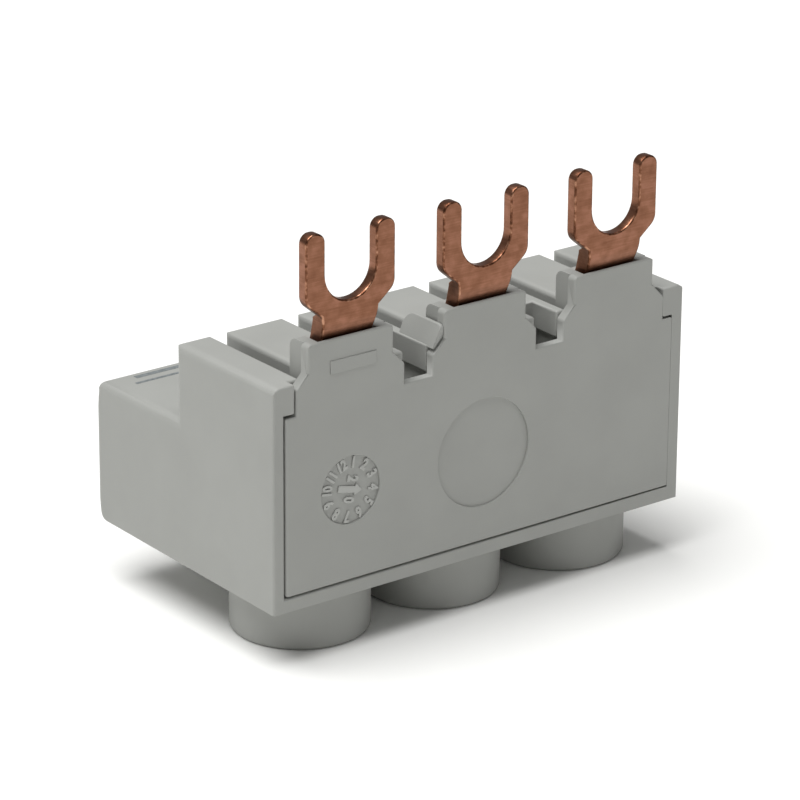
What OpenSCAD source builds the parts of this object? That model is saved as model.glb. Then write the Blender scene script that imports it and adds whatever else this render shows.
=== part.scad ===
// Three-pole incoming terminal: copper forks on top, cable collars below, clamp screws in the nose.
// X runs across the poles, Y from the rear cover to the nose, Z up. The block stands on its collars.

/* [Poles] */
// Distance between neighbouring poles
pole_pitch = 14.4; // [13.8:0.1:18]
// Distance from an outer pole to the side of the housing
end_reach = 8.1; // [7.6:0.1:11]

/* [Housing] */
// Height of the tall rear part
body_h = 20.5; // [19:0.1:26]
// Depth of the tall rear part
step_depth = 14.4; // [12:0.1:17]
// Thickness of the floor under the clamps
floor_t = 2.0; // [1.6:0.1:3]
// Thickness of the roof over the clamps and over the nose
roof_t = 1.4; // [1:0.1:2.5]
// Thickness of the nose face at its crown
nose_wall = 2.5; // [1.8:0.1:4]
// Radius of the bulge of the nose face, seen from the side
nose_bulge_r = 24; // [18:1:60]
// Rise of the bottom from the rear to the nose, the moulding draft
draft = 0.25; // [0:0.05:0.5]
// Rounding of the long outer edges
edge_r = 0.8; // [0.4:0.1:1.2]
// Rounding of the edges at the step
step_r = 0.9; // [0.3:0.1:1.1]
// Rounding of the edges beside the rear cover
rear_edge_r = 0.25; // [0.1:0.05:0.4]

/* [Top ribs] */
// Width of the rib over each pole
pole_rib_w = 6.1; // [5.9:0.1:6.8]
// Width of the grooves between the ribs
groove_w = 1.5; // [1.2:0.05:1.7]
// Depth of the grooves below the top
groove_depth = 4.2; // [3:0.1:5]
// Rounding of the ribs' long edges
rib_r = 0.5; // [0.2:0.1:0.9]
// Width of the slot in each partition rib
slot_w = 2.4; // [1.6:0.1:2.6]
// Distance of the slot's centre from the middle of its rib
slot_shift = 0.3; // [0:0.05:0.4]
// Depth of the slots below the top
slot_depth = 2.5; // [1.5:0.1:3]
// Length of the slot in the first partition
slot_length_1 = 8; // [5.5:0.1:10]
// Length of the slot in the second partition
slot_length_2 = 3.4; // [2:0.1:10]
// Length of the tapered fin beside the first slot
fin_length = 4.9; // [3:0.1:7]
// Rise of the fin above the top
fin_rise = 1.9; // [1:0.1:2.4]
// Thickness of the fin's top edge
fin_edge_t = 0.25; // [0.15:0.05:0.5]

/* [Collars] */
// Radius of the cable hole in each collar
cable_r = 5.2; // [4.4:0.1:5.4]
// Wall of each collar
collar_wall = 1.0; // [0.8:0.1:1.3]
// Length of the collars below the housing
collar_drop = 5.25; // [3:0.05:10]
// Radius of the conductor hole through the floor
conductor_r = 3.5; // [2.8:0.1:3.5]

/* [Rear cover] */
// Thickness of the cover plate
cover_t = 1.0; // [0.8:0.1:1.6]
// Gap round the cover in the housing, at its left and below
seam = 0.12; // [0.05:0.01:0.25]
// Gap at the right of the cover, which is fitted close there
close_seam = 0.03; // [0.02:0.01:0.1]
// Width of the housing rim at the sides of the cover
rim_w = 1.3; // [0.9:0.1:1.6]
// Height of the housing rim below the cover
rim_h = 1.4; // [0.8:0.1:1.5]
// Height of the corner lugs at the top of the rim
lug_h = 2.8; // [2:0.1:4]
// Width of the notches between the towers
notch_w = 3.0; // [2.4:0.1:3.4]
// Depth of the notches below the top of the housing
notch_depth = 2.5; // [1.5:0.1:3]
// Rise of the towers above the housing
tower_rise = 3.15; // [2.6:0.05:6]
// Depth of the towers from the rear face
tower_depth = 2.9; // [2:0.1:3.2]
// Rounding of the towers' top corners, seen from the rear
tower_r = 0.5; // [0.2:0.1:1.1]
// Rounding of the towers' upright rear edges
tower_edge_r = 0.25; // [0.1:0.05:0.4]
// Rounding of the towers' top edges towards the nose
tower_back_r = 0.9; // [0.3:0.1:1.2]
// Set-in of the towers' side walls behind the cover plate
tower_set_in = 0.2; // [0:0.05:0.4]
// Wall of each tower in front of the copper, at the top
lip_t = 0.45; // [0.35:0.05:0.6]
// Depth of the round marks sunk in the cover
mark_depth = 0.2; // [0.1:0.05:0.3]
// Radius of the date mark, below the first tower
date_mark_r = 3.1; // [2:0.1:3.6]
// Radius of the middle mark, below the second tower
middle_mark_r = 5.0; // [3:0.1:5.5]
// Height of the marks above the housing's bottom
mark_z = 9.65; // [8:0.05:11]
// Radius of the pegs that hold the cover
peg_r = 0.8; // [0.5:0.05:0.9]
// Length of the pegs that hold the cover
peg_length = 3; // [2:0.1:5]

/* [Copper bars] */
// Thickness of the copper strip
bar_t = 1.5; // [1.2:0.1:1.6]
// Thickness of the fork, which is coined thinner than the strip
fork_t = 1.1; // [0.8:0.1:1.2]
// Width of the fork across its prongs
fork_w = 9.3; // [8.4:0.05:10]
// Width of the slot between the prongs
fork_slot_w = 5.3; // [4.2:0.05:5.6]
// Height of the fork's tips above the tower
fork_rise = 9.55; // [8.8:0.05:12]
// Depth of the slot from the tips
fork_slot_depth = 6.4; // [5.5:0.05:6.8]
// Height of the fork's widest part below the bottom of the slot's straight sides
fork_cheek = 2.3; // [1.8:0.1:2.6]
// Height of the sloping cheeks between the fork and its neck
cheek_drop = 1.4; // [1:0.1:1.7]
// Rounding of the cheeks' outer corners
cheek_r = 1.3; // [0.6:0.1:1.8]
// Width of the tapered neck at its top, under the cheeks
neck_top_w = 5.9; // [5.6:0.1:6.6]
// Width of the neck at the tower, and of the leg of the strip
neck_w = 5.4; // [4.8:0.1:5.6]
// Set-back of the fork from the rear face
fork_inset = 0.05; // [0:0.05:0.3]
// Angle of the bends above and in the tower, in degrees
knee_angle = 20; // [16:1:28]
// Angle of the bends above the cage, in degrees
bend_angle = 27; // [25:1:35]
// Inside radius of the bends in the strip
bend_r = 1.0; // [0.6:0.1:1.2]

/* [Clamps] */
// Thickness of the folded cage strip
cage_t = 1.2; // [0.8:0.1:1.4]
// Inside width of the cage
cage_inner_w = 8.4; // [8:0.1:8.8]
// Height of the cage
cage_h = 9.8; // [8:0.1:11]
// Room for the conductor between the copper and the pad, clamp open
conductor_gap = 7.2; // [7:0.1:9]
// Thickness of the pressure pad
pad_t = 1.2; // [1:0.1:1.8]
// Travel of the pad from open to closed
travel = 6; // [4:0.5:7]
// Radius of the screw's thread
screw_r = 2.95; // [2.4:0.05:3.2]
// Radius of the screw's head
head_r = 3.8; // [3.5:0.1:3.9]
// Height of the screw's head
head_h = 3; // [2.2:0.1:4]
// Radius of the screw's tip in the pad
tip_r = 1.5; // [1:0.1:2]
// Radius of the access hole in the nose
access_r = 3.4; // [3:0.1:3.45]

/* [Hidden] */
$fn = 64;
eps = 0.01;

// Clearances
slip = 0.1;         // between moulded faces that slide together at assembly
bar_gap = 0.15;     // round the copper strip in its passage
tower_gap = 0.05;   // between a tower and the ribs beside it
cage_gap = 0.1;     // between the cage and the cover or the stop ribs
cage_side = 0.25;   // between the cage and the walls beside it
pad_gap = 0.3;      // between the open pad and the cage
running = 0.05;     // round the screw's thread and its tip
head_gap = 0.3;     // between the screw's head and what it passes or meets
lip_gap = 0.1;      // between the tower's lip and the copper strip, at the top
peg_gap = 0.05;     // round the cover's pegs

// Small fixed sizes
shoulder_drop = 0.65;   // start of the cover's shoulders below the top of the housing
tongue_drop = 0.7;      // top of the tongue behind the copper, below the tower's top
tongue_t = 1.0;         // thickness of that tongue
prong_rounding = 0.45;  // radius of the prong tips' corners as a share of the prong's width
leg_lift = 1;           // end of the strip above the floor
tip_depth = 0.8;        // depth of the screw's tip in the pad
hollow_side = 0.6;      // reach of the hollow under a slot beyond the slot's walls
fin_inset = 0.1;        // rear end of the fin from the rear face
fin_drop = 0.3;         // start of the fin's slope below the top
fin_r = 0.4;            // rounding of the fin's rear corner
fin_front_r = 1.2;      // rounding of the fin's front corner
fin_gap = 0.4;          // rear end of the fin above the cover's shoulder
low_peg_rise = 3;       // lower pegs of the cover above the floor
collar_lip_r = 0.35;    // rounding of the collars' mouths
pad_r = 1.2;            // rounding of the pad's corners
screw_chamfer = 0.4;    // chamfer of the screw's head and thread
recess_w = 1.1;         // width of the cross recess in the screw's head
recess_reach = 5.4;     // length of the cross recess
recess_depth = 1.8;     // depth of the cross recess

// Across
poles = [-pole_pitch, 0, pole_pitch];
partitions = [-pole_pitch / 2, pole_pitch / 2];
body_w = 2 * (pole_pitch + end_reach);
cage_half = cage_inner_w / 2 + cage_t;
cell_half = cage_half + cage_side;
pole_rib_half = pole_rib_w / 2;
groove_edge = pole_rib_half + groove_w;
partition_half = pole_pitch / 2 - groove_edge;
tower_half = groove_edge - tower_gap;
tower_base_half = (pole_pitch - notch_w) / 2;
passage_half = neck_w / 2 + bar_gap;
tower_passage_half = max(pole_rib_half, passage_half) + slip;
cover_half = body_w / 2 - rim_w;
cover_top_half = pole_pitch + tower_base_half;

// From the rear face towards the nose
bar_y = cover_t + bar_gap;
rib_y = bar_y + bar_t + bar_gap;
cage_y = cover_t + cage_gap;
leg_y = cage_y + cage_t;
leg_front_y = leg_y + bar_t;
cable_y = leg_front_y + conductor_gap / 2;
pad_y = leg_front_y + conductor_gap;
pad_front_y = pad_y + pad_t;
cage_front_y = pad_front_y + pad_gap;
cage_end_y = cage_front_y + 2 * cage_t;
rib_stop_y = cage_end_y + cage_gap;
thread_y = pad_front_y + slip;
head_y = cage_end_y + travel + head_gap;
head_end_y = head_y + head_h;
nose_inner_y = head_end_y + head_gap;
body_depth = nose_inner_y + nose_wall;

// Up from the bottom of the housing
screw_z = floor_t + cage_h / 2;
cell_top = floor_t + cage_h + cage_side;
nose_h = cell_top + roof_t;
groove_z = body_h - groove_depth;
rear_cell_top = groove_z - roof_t;
hollow_z = rear_cell_top + roof_t / 2;
lug_z = body_h - lug_h;
tower_top = body_h + tower_rise;
tower_foot = groove_z + slip;
shoulder_run = tower_base_half - tower_half;
shoulder_z = body_h - shoulder_drop;
fork_tip = tower_top + fork_rise;
fork_slot_z = fork_tip - fork_slot_depth + fork_slot_w / 2;
cheek_z = fork_slot_z - fork_cheek;
neck_z = cheek_z - cheek_drop;
leg_foot = floor_t + leg_lift;
tongue_top = tower_top - tongue_drop;

// First bend of the strip, as high above the tower as the slant needs to pass behind the lip
bend_outer_r = bend_r + bar_t;
lip_shift = lip_t + lip_gap - fork_inset - bend_outer_r * (1 - cos(knee_angle));
knee_z = tower_top + bend_outer_r * sin(knee_angle) + lip_shift / tan(knee_angle);

// Pegs in the two partitions, one low and one high in each
peg_places = [for (x = partitions) for (z = [floor_t + low_peg_rise, cell_top]) [x, z]];

// Ribs along the top of the rear part, as [low x, high x]
rib_spans = concat(
    [for (x = poles) [x - pole_rib_half, x + pole_rib_half]],
    [for (x = partitions) [x - partition_half, x + partition_half]],
    [[-body_w / 2, -pole_pitch - groove_edge], [pole_pitch + groove_edge, body_w / 2]]
);

// Lets a module be written from the rear face and the housing's bottom, and stands it on the collars
module stand() {
    translate([0, -body_depth / 2, collar_drop]) children();
}

// What lies outside a corner's rounding, where out points away from the outline
module corner_cut(at, out, r) {
    if (r > 0)
        difference() {
            translate(at - out * (r - eps) / 2) square(r + eps, center = true);
            translate(at - out * r) circle(r);
        }
}

// Rectangle with its own radius at each corner: low, low right, high right, high left
module rounded_rect(lo, hi, radii) {
    difference() {
        translate(lo) square(hi - lo);
        corner_cut(lo, [-1, -1], radii[0]);
        corner_cut([hi[0], lo[1]], [1, -1], radii[1]);
        corner_cut(hi, [1, 1], radii[2]);
        corner_cut([lo[0], hi[1]], [-1, 1], radii[3]);
    }
}

// Extrudes a side view, drawn as Y and Z, across the whole width w
module across(w) {
    translate([-w / 2, 0, 0]) rotate([90, 0, 90]) linear_extrude(w) children();
}

// Extrudes a front view, drawn as X and Z, from y0 to y1
module through(y0, y1) {
    translate([0, y1, 0]) rotate([90, 0, 0]) linear_extrude(y1 - y0) children();
}

// Extrudes a plan view, drawn as X and Y, from z0 to z1
module upright(z0, z1) {
    translate([0, 0, z0]) linear_extrude(z1 - z0) children();
}

// Round bar or hole along Y, at the height of the screws
module along_screw(x, r, y0, y1) {
    translate([x, y0, screw_z]) rotate([-90, 0, 0]) cylinder(r = r, h = y1 - y0);
}

// Side view of the tall rear part, with the drafted bottom
module rear_side_view() {
    step_rise = draft * step_depth / body_depth;
    difference() {
        polygon([[0, 0], [step_depth, step_rise], [step_depth, body_h], [0, body_h]]);
        corner_cut([step_depth, body_h], [1, 1], step_r);
    }
}

// Side view of the nose: a drafted bottom, and a front that is an arc with rounded ends
module nose_side_view() {
    bulge_y = body_depth - nose_bulge_r;
    mid_z = nose_h / 2;
    difference() {
        intersection() {
            polygon([[0, 0], [body_depth, draft], [body_depth, nose_h], [0, nose_h]]);
            union() {
                square([step_depth, nose_h]);
                translate([bulge_y, mid_z]) circle(nose_bulge_r, $fn = 256);
            }
        }
        translate([bulge_y, mid_z]) {
            arc_end_cut(mid_z);
            mirror([0, 1]) arc_end_cut(mid_z - draft);
        }
    }
}

// What lies outside the rounding where the nose's arc meets a flat at the given height above its centre
module arc_end_cut(height) {
    rise = height - edge_r;
    along = sqrt((nose_bulge_r - edge_r) ^ 2 - rise ^ 2);
    toward_arc = [along, rise] * 2 * edge_r / (nose_bulge_r - edge_r);
    translate([along, rise]) difference() {
        polygon([[0, 0], toward_arc, [2 * edge_r, 2 * edge_r], [0, 2 * edge_r]]);
        circle(edge_r);
    }
}

// The tall part with its ribs: low slab and ribs share one rounded side view
module rear_part() {
    intersection() {
        across(body_w) rear_side_view();
        union() {
            upright(0, groove_z) rounded_rect(
                [-body_w / 2, 0], [body_w / 2, step_depth], [rear_edge_r, rear_edge_r, step_r, step_r]);
            for (span = rib_spans)
                intersection() {
                    upright(groove_z - eps, body_h) rounded_rect(
                        [span[0], 0], [span[1], step_depth],
                        [
                            span[0] <= -body_w / 2 ? rear_edge_r : 0,
                            span[1] >= body_w / 2 ? rear_edge_r : 0,
                            step_r, step_r
                        ]);
                    through(0, step_depth) rounded_rect(
                        [span[0], 0], [span[1], body_h],
                        [
                            0, 0,
                            span[1] >= body_w / 2 ? edge_r : rib_r,
                            span[0] <= -body_w / 2 ? edge_r : rib_r
                        ]);
                }
        }
    }
}

module nose() {
    intersection() {
        across(body_w) nose_side_view();
        upright(0, nose_h) rounded_rect(
            [-body_w / 2, 0], [body_w / 2, body_depth], [rear_edge_r, rear_edge_r, edge_r, edge_r]);
        through(0, body_depth) rounded_rect(
            [-body_w / 2, 0], [body_w / 2, nose_h], [0, 0, edge_r, edge_r]);
    }
}

// The room for one clamp: a rear cell under the ribs and a lower one that runs into the nose
module cell(x) {
    upright(floor_t, cell_top)
        translate([x - cell_half, -eps]) square([2 * cell_half, nose_inner_y + eps]);
    upright(floor_t, rear_cell_top)
        translate([x - cell_half, -eps]) square([2 * cell_half, step_depth - roof_t + eps]);
    upright(rear_cell_top - eps, body_h + eps)
        translate([x - tower_passage_half, -eps]) square([2 * tower_passage_half, rib_y + eps]);
}

// Two ribs that keep a cage from moving forward and let the screw's head through
module stop_ribs(x) {
    rib_in = head_r + head_gap;
    for (side = [-1, 1])
        upright(floor_t - eps, cell_top + eps)
            translate([x + side * (rib_in + cell_half) / 2, rib_stop_y + roof_t / 2])
                square([cell_half - rib_in + 2 * eps, roof_t], center = true);
}

// Upstand of a pole rib that closes the back of the tower behind the copper
module tongue(x) {
    through(rib_y, rib_y + tongue_t) rounded_rect(
        [x - pole_rib_half, groove_z], [x + pole_rib_half, tongue_top], [0, 0, edge_r, edge_r]);
}

// Collar with a small rounding at its mouth
module collar(x) {
    collar_r = cable_r + collar_wall;
    translate([x, cable_y, -collar_drop]) rotate_extrude() difference() {
        square([collar_r, collar_drop + floor_t / 2]);
        corner_cut([collar_r, 0], [1, -1], collar_lip_r);
    }
}

// Cable hole up to the floor, then the smaller conductor hole into the cage
module cable_way(x) {
    translate([x, cable_y, -collar_drop - eps]) cylinder(r = cable_r, h = collar_drop + eps);
    translate([x, cable_y, -eps]) cylinder(r = conductor_r, h = floor_t + 2 * eps);
}

// Recess that takes the cover flush, with the seam round it
module cover_recess() {
    seams = seam + close_seam;
    through(-eps, cover_t) {
        translate([-cover_half - seam, rim_h - seam])
            square([2 * cover_half + seams, lug_z - rim_h + 2 * seam]);
        translate([-cover_top_half - seam, lug_z]) square([2 * cover_top_half + seams, body_h]);
    }
}

// Slot in the top of a partition and the wider hollow below it, both open towards the cover
module partition_slot(x, length) {
    slot_z = body_h - slot_depth;
    hollow_w = slot_w + 2 * hollow_side;
    upright(slot_z, body_h + eps)
        translate([x + slot_shift - slot_w / 2, cover_t - eps])
            square([slot_w, length + eps]);
    upright(hollow_z, slot_z + eps)
        translate([x + slot_shift - hollow_w / 2, cover_t - eps])
            square([hollow_w, length + eps]);
}

// Fin on the wall of the first slot: its left face slopes up to a thin top edge beside the tower
module fin() {
    foot_x = partitions[0] + slot_shift + slot_w / 2;
    wall_x = partitions[0] + partition_half;
    foot_z = body_h - fin_drop;
    top_z = body_h + fin_rise;
    difference() {
        intersection() {
            across(body_w) rounded_rect(
                [fin_inset, foot_z - fin_drop], [fin_inset + fin_length, top_z],
                [0, 0, fin_front_r, fin_r]);
            through(0, fin_inset + fin_length) polygon([
                [foot_x, foot_z - fin_drop],
                [wall_x, foot_z - fin_drop],
                [wall_x, top_z],
                [wall_x - fin_edge_t, top_z],
                [foot_x, foot_z]
            ]);
        }
        translate([0, 0, fin_gap]) through(-eps, cover_t) cover_shoulders(poles[1]);
    }
}

module housing() {
    color("#a6a7a2") stand() {
        difference() {
            union() {
                rear_part();
                nose();
                for (x = poles) {
                    collar(x);
                    tongue(x);
                }
            }
            for (x = poles) {
                difference() {
                    cell(x);
                    stop_ribs(x);
                }
                cable_way(x);
                along_screw(x, access_r, nose_inner_y - eps, body_depth + eps);
            }
            cover_recess();
            partition_slot(partitions[0], slot_length_1);
            partition_slot(partitions[1], slot_length_2);
            for (peg = peg_places)
                translate([peg[0], 0, peg[1]]) rotate([-90, 0, 0])
                    cylinder(r = peg_r + peg_gap, h = cover_t + peg_length + slip);
        }
        fin();
    }
}

// Outline of the cover, drawn as X and Z: plate, shoulders and towers
module cover_outline() {
    translate([-cover_half, rim_h]) square([2 * cover_half, lug_z - seam - rim_h]);
    translate([-cover_top_half, rim_h])
        square([2 * cover_top_half, body_h - notch_depth - rim_h]);
    for (x = poles) {
        cover_shoulders(x);
        translate([x, 0]) tower_front_view();
    }
}

// Plate below one tower, with its sloping shoulders
module cover_shoulders(x) {
    translate([x, 0]) polygon([
        [-tower_base_half, rim_h],
        [tower_base_half, rim_h],
        [tower_base_half, shoulder_z],
        [tower_half, shoulder_z + shoulder_run],
        [-tower_half, shoulder_z + shoulder_run],
        [-tower_base_half, shoulder_z]
    ]);
}

module tower_front_view() {
    rounded_rect([-tower_half, tower_foot], [tower_half, tower_top], [0, 0, tower_r, tower_r]);
}

// Part of one tower behind the plate, a little narrower and rounded at the top
module tower_back(x) {
    translate([x, 0, 0]) across(2 * (tower_half - tower_set_in)) rounded_rect(
        [cover_t - eps, tower_foot], [tower_depth, tower_top], [0, 0, tower_back_r, 0]);
}

// Passage for the copper through one tower: a slanting front face, and open towards the housing
module tower_passage(x) {
    slope_z = knee_z - bar_drop(bar_y - fork_inset, knee_angle);
    translate([x, 0, 0]) across(2 * tower_passage_half) polygon([
        [cover_t, tower_foot - eps],
        [cover_t, slope_z],
        [lip_t, slope_z + (cover_t - lip_t) / tan(knee_angle)],
        [lip_t, tower_top + eps],
        [tower_depth + eps, tower_top + eps],
        [tower_depth + eps, tower_foot - eps]
    ]);
}

module rear_cover() {
    color("#92938d") stand() {
        difference() {
            union() {
                difference() {
                    through(0, cover_t) cover_outline();
                    for (x = poles) tower_corners(x);
                }
                for (x = poles) tower_back(x);
                for (peg = peg_places)
                    translate([peg[0], cover_t - eps, peg[1]]) rotate([-90, 0, 0])
                        cylinder(r = peg_r, h = peg_length + eps);
            }
            for (x = poles) tower_passage(x);
            translate([poles[0], -eps, mark_z]) rotate([-90, 0, 0])
                cylinder(r = date_mark_r, h = mark_depth + eps);
            translate([poles[1], -eps, mark_z]) rotate([-90, 0, 0])
                cylinder(r = middle_mark_r, h = mark_depth + eps);
        }
    }
}

// What the rounded rear edges of a tower take off the plate above its shoulders
module tower_corners(x) {
    translate([x, 0, 0]) upright(shoulder_z + shoulder_run, tower_top + eps) {
        corner_cut([-tower_half, 0], [-1, -1], tower_edge_r);
        corner_cut([tower_half, 0], [1, -1], tower_edge_r);
    }
}

// Straight length and drop of a joggle that shifts the strip, with bends of the given angle
function bar_slant(shift, angle) = (shift - (2 * bend_r + bar_t) * (1 - cos(angle))) / sin(angle);
function bar_drop(shift, angle) = (2 * bend_r + bar_t) * sin(angle) + bar_slant(shift, angle) * cos(angle);

// One bend of a strip: a piece of a ring
module bend(ri, t, a1, a2) {
    reach = 2 * (ri + t);
    intersection() {
        difference() {
            circle(ri + t);
            circle(ri);
        }
        polygon([[0, 0], reach * [cos(a1), sin(a1)], reach * [cos(a2), sin(a2)]]);
    }
}

// Side of a strip that runs ahead and turns at the end of each step; steps are [run, turn]
module bent_strip(t, ri, steps, i = 0) {
    run = steps[i][0];
    turn = steps[i][1];
    square([run, t]);
    if (turn > 0)
        translate([run, t + ri]) {
            bend(ri, t, -90, turn - 90);
            rotate(turn) translate([0, -t - ri]) bent_strip(t, ri, steps, i + 1);
        }
    if (turn < 0)
        translate([run, -ri]) {
            bend(ri, t, 90 + turn, 90);
            rotate(turn) translate([0, ri]) bent_strip(t, ri, steps, i + 1);
        }
}

// Front view of a copper strip: fork, rounded cheeks, tapered neck and leg
module bar_outline() {
    prong_r = prong_rounding * (fork_w - fork_slot_w) / 2;
    right_side = [
        [fork_w / 2, fork_tip],
        [fork_w / 2, cheek_z],
        [neck_top_w / 2, neck_z],
        [neck_w / 2, tower_top],
        [neck_w / 2, leg_foot]
    ];
    last = len(right_side) - 1;
    left_side = [for (i = [last:-1:0]) [-right_side[i][0], right_side[i][1]]];
    difference() {
        polygon(concat(right_side, left_side));
        for (side = [0, 1]) mirror([side, 0]) {
            corner_cut([fork_w / 2, fork_tip], [1, 1], prong_r);
            corner_cut([fork_slot_w / 2, fork_tip], [-1, 1], prong_r);
            cheek_cut();
            corner_cut([neck_w / 2, leg_foot], [1, -1], edge_r);
        }
        translate([0, fork_slot_z]) circle(fork_slot_w / 2);
        translate([-fork_slot_w / 2, fork_slot_z]) square([fork_slot_w, fork_slot_depth]);
    }
}

// What lies outside the rounding of the right cheek
module cheek_cut() {
    turn = atan2((fork_w - neck_top_w) / 2, cheek_drop);
    bulge = tan(turn / 2);
    translate([fork_w / 2 - cheek_r, cheek_z + cheek_r * bulge]) difference() {
        polygon(2 * cheek_r * [[0, 0], [1, 0], [1, -bulge], [cos(turn), -sin(turn)]]);
        circle(cheek_r);
    }
}

// Copper strip of one pole: fork upright, joggled through the tower and again into the cage
module fork_bar(x) {
    top_shift = bar_y - fork_inset;
    low_shift = leg_y - bar_y;
    top_joggle = bar_drop(top_shift, knee_angle);
    low_joggle = bar_drop(low_shift, bend_angle);
    steps = [
        [fork_tip - knee_z, knee_angle],
        [bar_slant(top_shift, knee_angle), -knee_angle],
        [knee_z - top_joggle - rear_cell_top, bend_angle],
        [bar_slant(low_shift, bend_angle), -bend_angle],
        [rear_cell_top - low_joggle - leg_foot, 0]
    ];
    color("#9a6248") stand() translate([x, 0, 0]) intersection() {
        across(fork_w) difference() {
            translate([fork_inset, fork_tip]) rotate(-90) bent_strip(bar_t, bend_r, steps);
            coined_off();
        }
        through(-eps, cage_front_y) bar_outline();
    }
}

// Side view of what coining takes off the back of the fork, down to a ramp between neck and knee
module coined_off() {
    fork_back = fork_inset + fork_t;
    strip_back = fork_inset + bar_t;
    polygon([
        [fork_back, fork_tip + eps],
        [fork_back, neck_z],
        [strip_back, knee_z],
        [strip_back + eps, knee_z],
        [strip_back + eps, fork_tip + eps]
    ]);
}

// Box clamp folded from one strip, lapped twice at the front and threaded there
module clamp_cage(x) {
    fold_r = cage_t / 2;
    color("#b9bcc0") stand() difference() {
        upright(floor_t, floor_t + cage_h) translate([x, 0]) difference() {
            rounded_rect(
                [-cage_half, cage_y], [cage_half, cage_end_y],
                [fold_r + cage_t, fold_r + cage_t, fold_r + cage_t, fold_r + cage_t]);
            rounded_rect(
                [-cage_inner_w / 2, leg_y], [cage_inner_w / 2, cage_front_y],
                [fold_r, fold_r, fold_r, fold_r]);
        }
        along_screw(x, screw_r + running, cage_front_y - eps, cage_end_y + eps);
    }
}

// Plate on the screw's tip that presses the conductor on to the copper
module pressure_pad(x) {
    pad_half = cage_inner_w / 2 - 2 * pad_gap;
    color("#c4c6c8") stand() difference() {
        translate([x, 0, screw_z]) through(pad_y, pad_front_y) rounded_rect(
            [-pad_half, -pad_half], [pad_half, pad_half], [pad_r, pad_r, pad_r, pad_r]);
        along_screw(x, tip_r + running, pad_front_y - tip_depth - slip, pad_front_y + eps);
    }
}

// Terminal screw: turned tip, thread, head with a chamfer and a cross recess
module clamp_screw(x) {
    tip_y = pad_front_y - tip_depth;
    color("#c8cacc") stand() translate([x, 0, screw_z]) difference() {
        rotate([-90, 0, 0]) rotate_extrude() polygon([
            [0, tip_y],
            [tip_r, tip_y],
            [tip_r, thread_y],
            [screw_r - screw_chamfer, thread_y],
            [screw_r, thread_y + screw_chamfer],
            [screw_r, head_y],
            [head_r, head_y],
            [head_r, head_end_y - screw_chamfer],
            [head_r - screw_chamfer, head_end_y],
            [0, head_end_y]
        ]);
        for (turn = [0, 90])
            translate([0, head_end_y, 0]) rotate([0, turn, 0])
                cube([recess_reach, 2 * recess_depth, recess_w], center = true);
    }
}

housing();
rear_cover();
fork_bar(poles[0]);  // fork_bar_1
fork_bar(poles[1]);  // fork_bar_2
fork_bar(poles[2]);  // fork_bar_3
clamp_cage(poles[0]);  // clamp_cage_1
clamp_cage(poles[1]);  // clamp_cage_2
clamp_cage(poles[2]);  // clamp_cage_3
pressure_pad(poles[0]);  // pressure_pad_1
pressure_pad(poles[1]);  // pressure_pad_2
pressure_pad(poles[2]);  // pressure_pad_3
clamp_screw(poles[0]);  // clamp_screw_1
clamp_screw(poles[1]);  // clamp_screw_2
clamp_screw(poles[2]);  // clamp_screw_3
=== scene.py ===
from math import cos, pi, radians, sin, tan

import bmesh
import bpy
from mathutils import Matrix, Vector


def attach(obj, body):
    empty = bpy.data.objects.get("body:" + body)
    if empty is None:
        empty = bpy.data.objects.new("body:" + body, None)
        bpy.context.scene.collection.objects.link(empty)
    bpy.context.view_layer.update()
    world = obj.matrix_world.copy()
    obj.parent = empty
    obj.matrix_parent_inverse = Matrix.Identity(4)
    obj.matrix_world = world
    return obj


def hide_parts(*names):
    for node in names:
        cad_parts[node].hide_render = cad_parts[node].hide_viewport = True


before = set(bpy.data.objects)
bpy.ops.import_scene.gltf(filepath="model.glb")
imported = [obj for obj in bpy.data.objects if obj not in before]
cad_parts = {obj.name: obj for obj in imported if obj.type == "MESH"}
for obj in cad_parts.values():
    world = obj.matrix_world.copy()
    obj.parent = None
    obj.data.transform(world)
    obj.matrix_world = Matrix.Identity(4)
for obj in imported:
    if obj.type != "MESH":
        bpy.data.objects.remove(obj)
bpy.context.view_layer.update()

# Housing: one moulding of light grey glass-filled polyamide, with the partitions, the top ribs and
# the cable collars in one piece. The mould leaves soft edges and a fine matt grain.
MM = 0.001
MOULDED_EDGE = 0.24 * MM
# Two corners of a box round the seam at the cover's right end, which is shut and keeps sharp edges
RIGHT_SEAM = (Vector((19.3, -13.6, 6.5)) * MM, Vector((21.6, -13.0, 26.5)) * MM)
# Angles between faces, above which there is an edge and below which they are one flat face
SHARP_ANGLE = radians(40)
FLAT_ANGLE = radians(0.3)
# Corners this close together are one corner
SAME_PLACE = 0.001 * MM
# Least width of the wider face beside an edge that is rounded, in widths of the rounding
NARROWEST = 2.4
# Largest shares of a stretch's width and of an edge's length that the rounding may take
WIDTH_SHARE = 0.4
LENGTH_SHARE = 0.7
# What is left of a rounding after each step of narrowing, and the most steps made
FIT_STEP = 0.8
FIT_COUNT = 60
# Keeps the length lost at a very pointed corner finite
LEAST_SINE = 0.1
EDGE_SEGMENTS = 3


def length_of(edges):
    """The length of several edges together."""
    return sum(edge.calc_length() for edge in edges)


def width_of(faces, outline):
    """How narrow a stretch of faces is: twice its area over the length of its outline."""
    return 2 * sum(face.calc_area() for face in faces) / max(outline, MM)


def room_beside(shape):
    """For each face, how narrow the smooth stretch is that it belongs to."""
    room = {}
    for seed in shape.faces:
        if seed in room:
            continue
        stretch = [seed]
        room[seed] = 0
        outline = 0
        for face in stretch:
            for edge in face.edges:
                if edge.calc_face_angle(0) > SHARP_ANGLE:
                    outline += edge.calc_length()
                    continue
                for neighbour in edge.link_faces:
                    if neighbour not in room:
                        room[neighbour] = 0
                        stretch.append(neighbour)
        room.update(dict.fromkeys(stretch, width_of(stretch, outline)))
    return room


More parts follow.
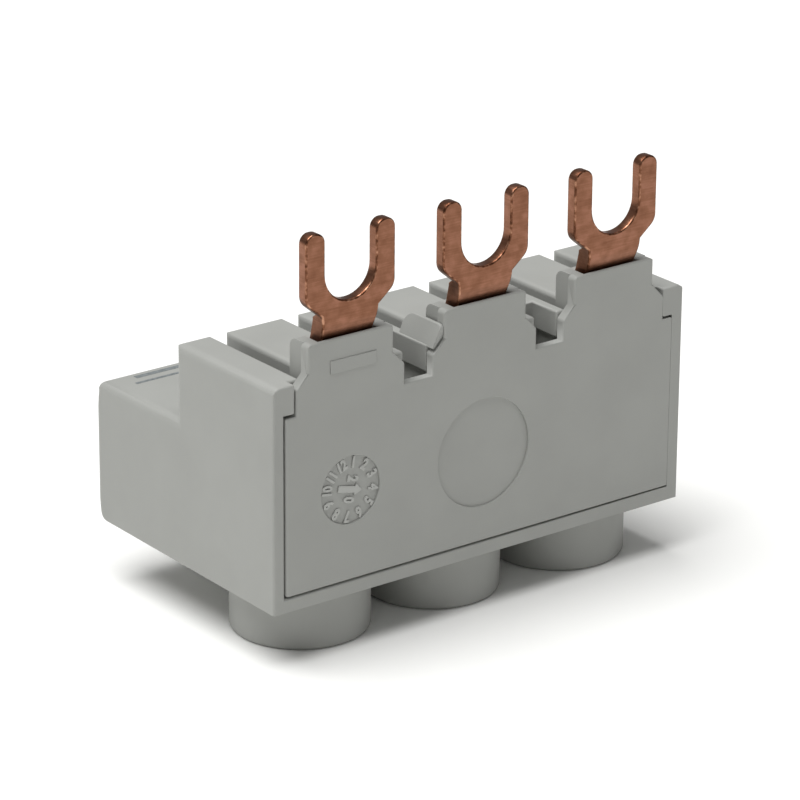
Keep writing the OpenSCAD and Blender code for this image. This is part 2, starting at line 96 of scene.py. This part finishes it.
def widest_beside(edge):
    """The width of the wider one of the two faces beside an edge."""
    return max(width_of([face], length_of(face.edges)) for face in edge.link_faces)


def runs_of(edges):
    """Groups edges into runs that carry on from one edge to the next without a corner."""
    run_of = {}
    for seed in edges:
        if seed in run_of:
            continue
        run = [seed]
        run_of[seed] = run
        for edge in run:
            for vert in edge.verts:
                along = edge.other_vert(vert).co - vert.co
                for other in vert.link_edges:
                    onward = vert.co - other.other_vert(vert).co
                    if other in edges and other not in run_of and along.angle(onward) < SHARP_ANGLE:
                        run_of[other] = run
                        run.append(other)
    return run_of


def corner_loss(corner, edge, other, width):
    """How much of an edge's length the roundings of it and of the next edge take away at a corner."""
    angle = corner.calc_angle() if corner.is_convex else 2 * pi - corner.calc_angle()
    if abs(angle - pi) < SHARP_ANGLE:
        return max(width(edge), width(other)) / tan(angle / 2)
    if angle > pi:
        return 0
    return (width(other) + width(edge) * cos(angle)) / max(sin(angle), LEAST_SINE)


def fit_rounding(shape, run_of, rounding):
    """Narrows the rounding of a run wherever the edges of a face are too short for it."""
    def width(edge):
        return rounding[id(run_of[edge])] if edge in run_of else 0

    for _ in range(FIT_COUNT):
        tight = set()
        for face in shape.faces:
            for corner in face.loops:
                onward = corner.link_loop_next
                edge, before, after = corner.edge, corner.link_loop_prev.edge, onward.edge
                loss = corner_loss(corner, edge, before, width) + corner_loss(onward, edge, after, width)
                if loss > LENGTH_SHARE * edge.calc_length():
                    tight.update(id(run_of[side]) for side in (edge, before, after) if side in run_of)
        if not tight:
            break
        for run in tight:
            rounding[run] *= FIT_STEP


def finished(name, shape, node=None):
    """Makes an object of a bmesh, shaded smooth with flat faces kept flat.

    Where a node is named, that node's own part is hidden.
    """
    for face in shape.faces:
        face.smooth = True
    mesh = bpy.data.meshes.new(name)
    shape.to_mesh(mesh)
    shape.free()
    piece = bpy.data.objects.new(name, mesh)
    bpy.context.scene.collection.objects.link(piece)
    piece.modifiers.new("flat faces", "WEIGHTED_NORMAL").keep_sharp = True
    if node:
        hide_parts(node)
    return piece


def soft_edged(name, node, edge_width, closed_seam=None):
    """A copy of a solid that stands for it, with outer edges rounded as far as the faces beside them allow.

    An edge between two narrow strips, as on the rim of a hole in a curved face, stays sharp, and so do
    the edges inside the two corners of a closed seam.
    """
    shape = bmesh.new()
    shape.from_mesh(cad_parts[node].data)
    bmesh.ops.remove_doubles(shape, verts=shape.verts, dist=SAME_PLACE)
    bmesh.ops.dissolve_limit(shape, angle_limit=FLAT_ANGLE, verts=shape.verts, edges=shape.edges)
    softness = shape.edges.layers.float.new("bevel_weight_edge")
    room = room_beside(shape)
    sharp = [edge for edge in shape.edges if edge.calc_face_angle(0) > SHARP_ANGLE]
    convex = {edge for edge in sharp if edge.is_convex}
    roomy = {edge for edge in convex if widest_beside(edge) > NARROWEST * edge_width}
    if closed_seam:
        low, high = closed_seam
        roomy -= {edge for edge in roomy
                  if all(low[i] < vert.co[i] < high[i] for vert in edge.verts for i in range(3))}
    whole = runs_of(convex)
    outer = {edge for edge in roomy
             if length_of(roomy.intersection(whole[edge])) > length_of(whole[edge]) / 2}
    for edge in sharp:
        edge.smooth = edge in outer
    run_of = runs_of(outer)
    rounding = {}
    for run in run_of.values():
        widths = [WIDTH_SHARE * room[face] for edge in run for face in edge.link_faces]
        rounding[id(run)] = min(edge_width, *widths)
    fit_rounding(shape, run_of, rounding)
    for edge, run in run_of.items():
        edge[softness] = rounding[id(run)] / edge_width
    piece = finished(name, shape, node)
    edges = piece.modifiers.new("rounded edges", "BEVEL")
    edges.limit_method = "WEIGHT"
    edges.width = edge_width
    edges.segments = EDGE_SEGMENTS
    edges.use_clamp_overlap = False
    # The edges are rounded first, so that the shading is worked out on the rounded shape
    piece.modifiers.move(1, 0)
    return piece


def linear(colour):
    """Linear RGBA from an sRGB hex colour."""
    values = [int(colour[i:i + 2], 16) / 255 for i in (1, 3, 5)]
    return [v / 12.92 if v <= 0.04045 else ((v + 0.055) / 1.055) ** 2.4 for v in values] + [1]


def add(tree, kind, inputs, **settings):
    """Adds a shader node with its settings; each input is a value or a socket to link."""
    node = tree.nodes.new("ShaderNode" + kind)
    for key, value in settings.items():
        setattr(node, key, value)
    for key, value in inputs.items():
        if isinstance(value, bpy.types.NodeSocket):
            tree.links.new(value, node.inputs[key])
        else:
            node.inputs[key].default_value = value
    return node


def new_material(name):
    """A new material, its node tree and its shader."""
    material = bpy.data.materials.new(name)
    material.use_nodes = True
    return material, material.node_tree, material.node_tree.nodes["Principled BSDF"]


def tint(tree, shader, value, stops):
    """Colours the shader by a value, through stops of position and sRGB hex colour."""
    ramp = add(tree, "ValToRGB", {"Fac": value})
    elements = ramp.color_ramp.elements
    while len(elements) < len(stops):
        elements.new(0.5)
    for element, (position, colour) in zip(elements, stops):
        element.position = position
        element.color = linear(colour)
    tree.links.new(ramp.outputs["Color"], shader.inputs["Base Color"])


# Moulded polyamide: the eye sees an even matt grey, a faint cloudiness from the glass fibres and the
# fine pitting of a spark-eroded mould. The pitting is drawn coarser than it is, so that it shows.
FIBRE_CLOUD = 5 * MM
PIT_SIZE = 0.16 * MM
PIT_DEPTH = 0.02 * MM


def moulded_polyamide(name, darker, lighter, pit_strength):
    """Polyamide between two greys, with pits of a given strength."""
    material, tree, shader = new_material(name)
    place = add(tree, "TexCoord", {}).outputs["Object"]
    cloud = add(tree, "TexNoise", {"Vector": place, "Scale": 1 / FIBRE_CLOUD, "Detail": 3}).outputs["Fac"]
    tint(tree, shader, cloud, ((0.3, darker), (0.7, lighter)))
    grain = add(tree, "TexNoise", {"Vector": place, "Scale": 1 / PIT_SIZE, "Detail": 2}).outputs["Fac"]
    pitting = add(tree, "Bump", {"Height": grain, "Strength": pit_strength, "Distance": PIT_DEPTH})
    tree.links.new(pitting.outputs["Normal"], shader.inputs["Normal"])
    shader.inputs["Roughness"].default_value = 0.55
    shader.inputs["IOR"].default_value = 1.53
    return material


polyamide = moulded_polyamide("polyamide, moulded grey", "#999a96", "#9d9e9a", 0.35)
housing = soft_edged("housing_moulding", "housing", MOULDED_EDGE, RIGHT_SEAM)
housing.data.materials.append(polyamide)
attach(housing, "block")

# Printing on the housing: two plain stripes of dark ink, pad printed on the flat top of the nose
# near its left end. The film is drawn thicker than real ink, so that it stays clear of the top.
NOSE_TOP = 18.7 * MM
INK_FILM = 0.02 * MM
# Left, rear, right and front side of each stripe, in millimetres
STRIPES = ((-19.6, 11.05, -13.5, 11.6), (-20.4, 9.85, -13.5, 10.2))

# Printing ink: a flat dark grey film that thins out in places.
INK_PATCH = 0.3 * MM


def printed_ink():
    """Dark grey ink with thinner patches."""
    material, tree, shader = new_material("ink, pad printed grey")
    place = add(tree, "TexCoord", {}).outputs["Object"]
    patches = add(tree, "TexNoise", {"Vector": place, "Scale": 1 / INK_PATCH, "Detail": 3}).outputs["Fac"]
    tint(tree, shader, patches, ((0.3, "#62686a"), (0.7, "#7d8283")))
    shader.inputs["Roughness"].default_value = 0.6
    return material


shape = bmesh.new()
for left, rear, right, front in STRIPES:
    middle = Vector(((left + right) / 2 * MM, (rear + front) / 2 * MM, NOSE_TOP + INK_FILM / 2))
    size = Vector(((right - left) * MM, (front - rear) * MM, INK_FILM))
    bmesh.ops.create_cube(shape, size=1, matrix=Matrix.LocRotScale(middle, None, size))
printing = finished("nose_printing", shape)
printing.data.materials.append(printed_ink())
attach(printing, "block")

# Clamps: a cage folded from zinc-plated steel strip, a stamped pad and a turned screw for each pole.
# They drop into the housing from behind, before the cover goes on.
POLES = (1, 2, 3)
FOLDED_EDGE = 0.1 * MM

# Zinc plating: a pale, slightly blue satin metal, a little clouded.
ZINC_CLOUD = 1.2 * MM


def zinc_plated_steel():
    """Satin zinc whose gloss changes with its clouds."""
    material, tree, shader = new_material("steel, zinc plated")
    place = add(tree, "TexCoord", {}).outputs["Object"]
    cloud = add(tree, "TexNoise", {"Vector": place, "Scale": 1 / ZINC_CLOUD, "Detail": 4}).outputs["Fac"]
    tint(tree, shader, cloud, ((0.3, "#b9bdc2"), (0.7, "#cbcdcf")))
    gloss = add(tree, "MapRange", {"Value": cloud, "To Min": 0.28, "To Max": 0.42}).outputs["Result"]
    tree.links.new(gloss, shader.inputs["Roughness"])
    shader.inputs["Metallic"].default_value = 1
    return material


zinc = zinc_plated_steel()
for pole in POLES:
    for kind, slot, body in (
            ("clamp_cage", "cage_steel", "block"),
            ("pressure_pad", "cage_steel", f"pad_{pole}"),
            ("clamp_screw", "screw_steel", f"screw_{pole}")):
        piece = soft_edged(f"{kind}_plated_{pole}", f"{kind}_{pole}", FOLDED_EDGE)
        piece.data.materials.append(zinc)
        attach(piece, body)

# Copper bars: bare copper strip, stamped to a fork, coined thinner there and bent to pass the tower.
# The punch leaves a rough, torn rim round the faces.
STAMPED_EDGE = 0.16 * MM

# Bare copper: a dull brown-pink metal, clouded by handling, with rolling lines across the strip.
# The lines are drawn coarser than they are, so that they show.
HANDLED_CLOUD = 1.1 * MM
ROLLING_LINE = 0.14 * MM
LINE_DEPTH = 0.015 * MM
LINE_SHARE = 0.35
# Draws the lines out along the width and the thickness of the strip
DRAWN_OUT = (0.06, 0.06, 1)


def bare_copper():
    """Clouded copper, scored by rolling lines that also change its gloss."""
    material, tree, shader = new_material("copper, rolled")
    place = add(tree, "TexCoord", {}).outputs["Object"]
    cloud = add(tree, "TexNoise", {"Vector": place, "Scale": 1 / HANDLED_CLOUD, "Detail": 5}).outputs["Fac"]
    along = add(tree, "Mapping", {"Vector": place, "Scale": DRAWN_OUT}).outputs["Vector"]
    lines = add(tree, "TexNoise", {"Vector": along, "Scale": 1 / ROLLING_LINE, "Detail": 3}).outputs["Fac"]
    faint_lines = add(tree, "Math", {0: lines, 1: LINE_SHARE}, operation="MULTIPLY").outputs["Value"]
    mixed = {0: cloud, 1: 1 - LINE_SHARE, 2: faint_lines}
    film = add(tree, "Math", mixed, operation="MULTIPLY_ADD").outputs["Value"]
    tint(tree, shader, film, ((0.36, "#78503c"), (0.5, "#855b46"), (0.64, "#956854")))
    gloss = add(tree, "MapRange", {"Value": lines, "To Min": 0.24, "To Max": 0.36}).outputs["Result"]
    tree.links.new(gloss, shader.inputs["Roughness"])
    scored = add(tree, "Bump", {"Height": lines, "Strength": 0.12, "Distance": LINE_DEPTH})
    tree.links.new(scored.outputs["Normal"], shader.inputs["Normal"])
    shader.inputs["Metallic"].default_value = 1
    return material


# Torn rim: copper darkened along the rounded edges, a painted shade for the burr line, broken up by bright
# specks that are painted glints.
SPECK_SIZE = 0.5 * MM
TEAR_DEPTH = 0.06 * MM


def torn_copper():
    """Rough copper darkened as painted shade, with bright specks as painted glints."""
    material, tree, shader = new_material("copper, sheared rim, painted shade and glints")
    place = add(tree, "TexCoord", {}).outputs["Object"]
    specks = add(tree, "TexNoise", {"Vector": place, "Scale": 1 / SPECK_SIZE, "Detail": 4}).outputs["Fac"]
    tint(tree, shader, specks, ((0.36, "#553526"), (0.5, "#7b513c"), (0.7, "#b98a70")))
    torn = add(tree, "Bump", {"Height": specks, "Strength": 0.3, "Distance": TEAR_DEPTH})
    tree.links.new(torn.outputs["Normal"], shader.inputs["Normal"])
    shader.inputs["Metallic"].default_value = 1
    shader.inputs["Roughness"].default_value = 0.32
    return material


copper = bare_copper()
rim_copper_painted_shade = torn_copper()
for pole in POLES:
    bar = soft_edged(f"copper_bar_{pole}", f"fork_bar_{pole}", STAMPED_EDGE)
    bar.data.materials.append(copper)
    bar.data.materials.append(rim_copper_painted_shade)
    # The rounded edges take the second material, with its painted shade and glints
    bar.modifiers["rounded edges"].material = 1
    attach(bar, "block")

# Rear cover: a moulded plate of the same polyamide, with a tower for each bar. It closes the open rear
# of the housing, and its four pegs sit in holes in the partitions.
COVER_EDGE = 0.18 * MM
cover = soft_edged("rear_cover_moulding", "rear_cover", COVER_EDGE, RIGHT_SEAM)
cover.data.materials.append(polyamide)
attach(cover, "block")

# Plain bar on the cover: a low flat field of polyamide on the first tower, in one piece with the cover.
# A shallow pocket in the mould leaves it standing, with a soft rim.
REAR_FACE = -13.5 * MM
BAR_LEFT, BAR_RIGHT = -16.6 * MM, -11.8 * MM
BAR_LOW, BAR_HIGH = 25.85 * MM, 27.0 * MM
BAR_HEIGHT = 0.1 * MM
RAISED_EDGE = 0.05 * MM
UPRIGHT = Matrix.Rotation(radians(90), 4, "X")
ON_REAR = Matrix.Translation((0, REAR_FACE, 0)) @ UPRIGHT


def raised(shape, outline, height, place):
    """Adds a flat field that stands on the plane of a place by height, its rim rounded."""
    face = shape.faces.new([shape.verts.new(place @ Vector((x, y, 0))) for x, y in outline])
    grown = bmesh.ops.extrude_face_region(shape, geom=[face])["geom"]
    top = next(item for item in grown if isinstance(item, bmesh.types.BMFace))
    bmesh.ops.translate(shape, verts=top.verts, vec=place.to_3x3() @ Vector((0, 0, height)))
    bmesh.ops.bevel(
        shape, geom=list(top.edges), offset=RAISED_EDGE, affect="EDGES", segments=2, profile=0.5, material=-1)


shape = bmesh.new()
corners = ((BAR_LEFT, BAR_LOW), (BAR_RIGHT, BAR_LOW), (BAR_RIGHT, BAR_HIGH), (BAR_LEFT, BAR_HIGH))
raised(shape, corners, BAR_HEIGHT, ON_REAR)
bmesh.ops.recalc_face_normals(shape, faces=shape.faces)
bar_field = finished("cover_plain_bar", shape)
bar_field.data.materials.append(polyamide)
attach(bar_field, "block")

# Date dial: figures left by a mould insert, standing in the round recess below the first tower. The
# ring is fixed, with its tops outwards; the arrow and the two figures beside it are on a core that turns.
DIAL_X, DIAL_Z = -14.4 * MM, 14.9 * MM
DIAL_FLOOR = -13.3 * MM
FIGURE_HEIGHT = 0.14 * MM
FIGURE_EDGE = 0.03 * MM
# Width of a figure as a share of the typeface's, and the stroke's growth as a share of the size
FIGURE_NARROWING = 0.75
FIGURE_BOLDNESS = 0.03
FIGURE_STEPS = 3
RING_COUNT = 12
RING_RADIUS = 2.42 * MM
RING_START = radians(-22)
RING_STEP = radians(30)
RING_SIZE = 1.4 * MM
ARROW_TURN = radians(103)
ARROW_LENGTH = 2.6 * MM
ARROW_HEAD_LENGTH = 0.8 * MM
ARROW_HEAD_HALF = 0.55 * MM
ARROW_HALF = 0.3 * MM
INNER_REACH = 0.95 * MM
INNER_SIZE = 1.45 * MM
ON_DIAL = Matrix.Translation((DIAL_X, DIAL_FLOOR, DIAL_Z)) @ UPRIGHT


def figure(shape, number, size, place):
    """Adds a raised figure, centred on a place, with its top along the place's Y."""
    curve = bpy.data.curves.new("figure", "FONT")
    curve.body = str(number)
    curve.align_x = "CENTER"
    curve.align_y = "CENTER"
    curve.resolution_u = FIGURE_STEPS
    curve.offset = FIGURE_BOLDNESS
    curve.extrude = (FIGURE_HEIGHT / 2 - FIGURE_EDGE) / size
    curve.bevel_depth = FIGURE_EDGE / size
    text = bpy.data.objects.new("figure", curve)
    bpy.context.scene.collection.objects.link(text)
    mesh = bpy.data.meshes.new_from_object(text.evaluated_get(bpy.context.evaluated_depsgraph_get()))
    lifted = place @ Matrix.Translation((0, 0, FIGURE_HEIGHT / 2))
    mesh.transform(lifted @ Matrix.Diagonal((FIGURE_NARROWING * size, size, size, 1)))
    shape.from_mesh(mesh)
    bpy.data.objects.remove(text)
    bpy.data.curves.remove(curve)
    bpy.data.meshes.remove(mesh)


shape = bmesh.new()
tip = ARROW_LENGTH / 2
neck = tip - ARROW_HEAD_LENGTH
arrow = ((-ARROW_HALF, -tip), (ARROW_HALF, -tip), (ARROW_HALF, neck), (ARROW_HEAD_HALF, neck),
         (0, tip), (-ARROW_HEAD_HALF, neck), (-ARROW_HALF, neck))
turned = ON_DIAL @ Matrix.Rotation(-ARROW_TURN, 4, "Z")
raised(shape, arrow, FIGURE_HEIGHT, turned)
bmesh.ops.recalc_face_normals(shape, faces=shape.faces)
for digit, reach in ((2, -INNER_REACH), (0, INNER_REACH)):
    figure(shape, digit, INNER_SIZE, turned @ Matrix.Translation((reach, 0, 0)))
for number in range(1, RING_COUNT + 1):
    clockwise = RING_START + number * RING_STEP
    outwards = ON_DIAL @ Matrix.Rotation(-clockwise, 4, "Z") @ Matrix.Translation((0, RING_RADIUS, 0))
    figure(shape, number, RING_SIZE, outwards)
dial = finished("date_dial_figures", shape)
# The figures are a lighter grey than the cover they are moulded with: a painted highlight for the light they
# catch.
dial.data.materials.append(moulded_polyamide("polyamide, moulded smooth, painted lighter", "#a9aaa6", "#adaeaa", 0.1))
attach(dial, "block")

# Floor: a wide sheet of white matt paper, laid flat under the block. It takes the shadow
# and throws light back on to the underside.
FLOOR_SIZE = 6.0
shape = bmesh.new()
bmesh.ops.create_grid(shape, x_segments=1, y_segments=1, size=FLOOR_SIZE / 2)
floor = finished("floor", shape)
paper, tree, shader = new_material("paper, white matt")
shader.inputs["Base Color"].default_value = linear("#f6f6f4")
shader.inputs["Roughness"].default_value = 0.9
floor.data.materials.append(paper)

# Light: an even white surround, and one large soft box almost overhead, a little to the left.
# The soft box lights the tops and casts the shadow, and the surround fills it.
SURROUND = 0.26
SOFT_BOX_POWER = 43
SOFT_BOX_SIZE = 1.5
SOFT_BOX_DISTANCE = 1.8
SOFT_BOX_FROM = Vector((-0.25, 0.06, 0.96)).normalized()
world = bpy.data.worlds.new("surround")
world.use_nodes = True
background = world.node_tree.nodes["Background"]
background.inputs["Color"].default_value = (1, 1, 1, 1)
background.inputs["Strength"].default_value = SURROUND
bpy.context.scene.world = world
lamp = bpy.data.lights.new("soft box", "AREA")
lamp.energy = SOFT_BOX_POWER
lamp.size = SOFT_BOX_SIZE
soft_box = bpy.data.objects.new("soft box", lamp)
soft_box.location = SOFT_BOX_FROM * SOFT_BOX_DISTANCE
soft_box.rotation_euler = SOFT_BOX_FROM.to_track_quat("Z", "Y").to_euler()
bpy.context.scene.collection.objects.link(soft_box)
bpy.context.scene.view_settings.view_transform = "Standard"

# Camera: a long lens from behind and to the left of the block, a little above it. The lens
# and the sensor are in millimetres, as Blender takes them.
VIEW_AZIMUTH = radians(-37.55)
VIEW_ELEVATION = radians(21.04)
VIEW_ROLL = radians(0.39)
VIEW_DISTANCE = 371.6 * MM
VIEW_TARGET = Vector((0, -1.5, 16.05)) * MM
LENS_LENGTH = 188.3
SENSOR_WIDTH = 36
NEAR_LIMIT = 10 * MM
lens = bpy.data.cameras.new("camera")
lens.lens = LENS_LENGTH
lens.sensor_width = SENSOR_WIDTH
lens.clip_start = NEAR_LIMIT
camera = bpy.data.objects.new("camera", lens)
turn = (Matrix.Rotation(VIEW_AZIMUTH, 4, "Z") @ Matrix.Rotation(radians(90) - VIEW_ELEVATION, 4, "X")
        @ Matrix.Rotation(VIEW_ROLL, 4, "Z"))
camera.matrix_world = Matrix.Translation(VIEW_TARGET) @ turn @ Matrix.Translation((0, 0, VIEW_DISTANCE))
bpy.context.scene.collection.objects.link(camera)
bpy.context.scene.camera = camera
